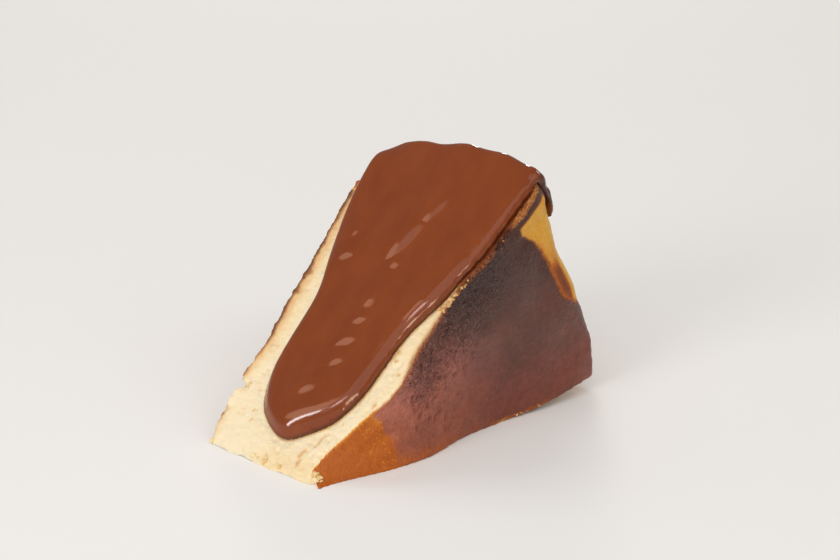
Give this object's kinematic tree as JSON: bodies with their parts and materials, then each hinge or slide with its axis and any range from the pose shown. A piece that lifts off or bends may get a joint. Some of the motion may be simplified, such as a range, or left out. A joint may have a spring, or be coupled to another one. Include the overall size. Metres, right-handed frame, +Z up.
{
  "type": "basque cheesecake slice",
  "caption": "Wedge of burnt cheesecake lying on a cut face, with a dark sunken top, a golden rim and glossy chocolate sauce poured over the upper cut face.",
  "frame": {"origin": "centre of the bounding box in plan, on the surface the slice lies on", "axes": "+Z up; +X along the surface from the slice's tip to its rim; +Y towards the cake's base, so the burnt top faces -Y"},
  "size_m": [0.09, 0.056, 0.0694],
  "materials": {
    "baked_cheesecake": "pale moist crumb with a browned base and a dark burnt top",
    "chocolate_sauce": "wet gloss"
  },
  "bodies": {
    "root": {"cheesecake_slice": "baked_cheesecake", "chocolate_sauce": "chocolate_sauce"}
  },
  "joints": []
}
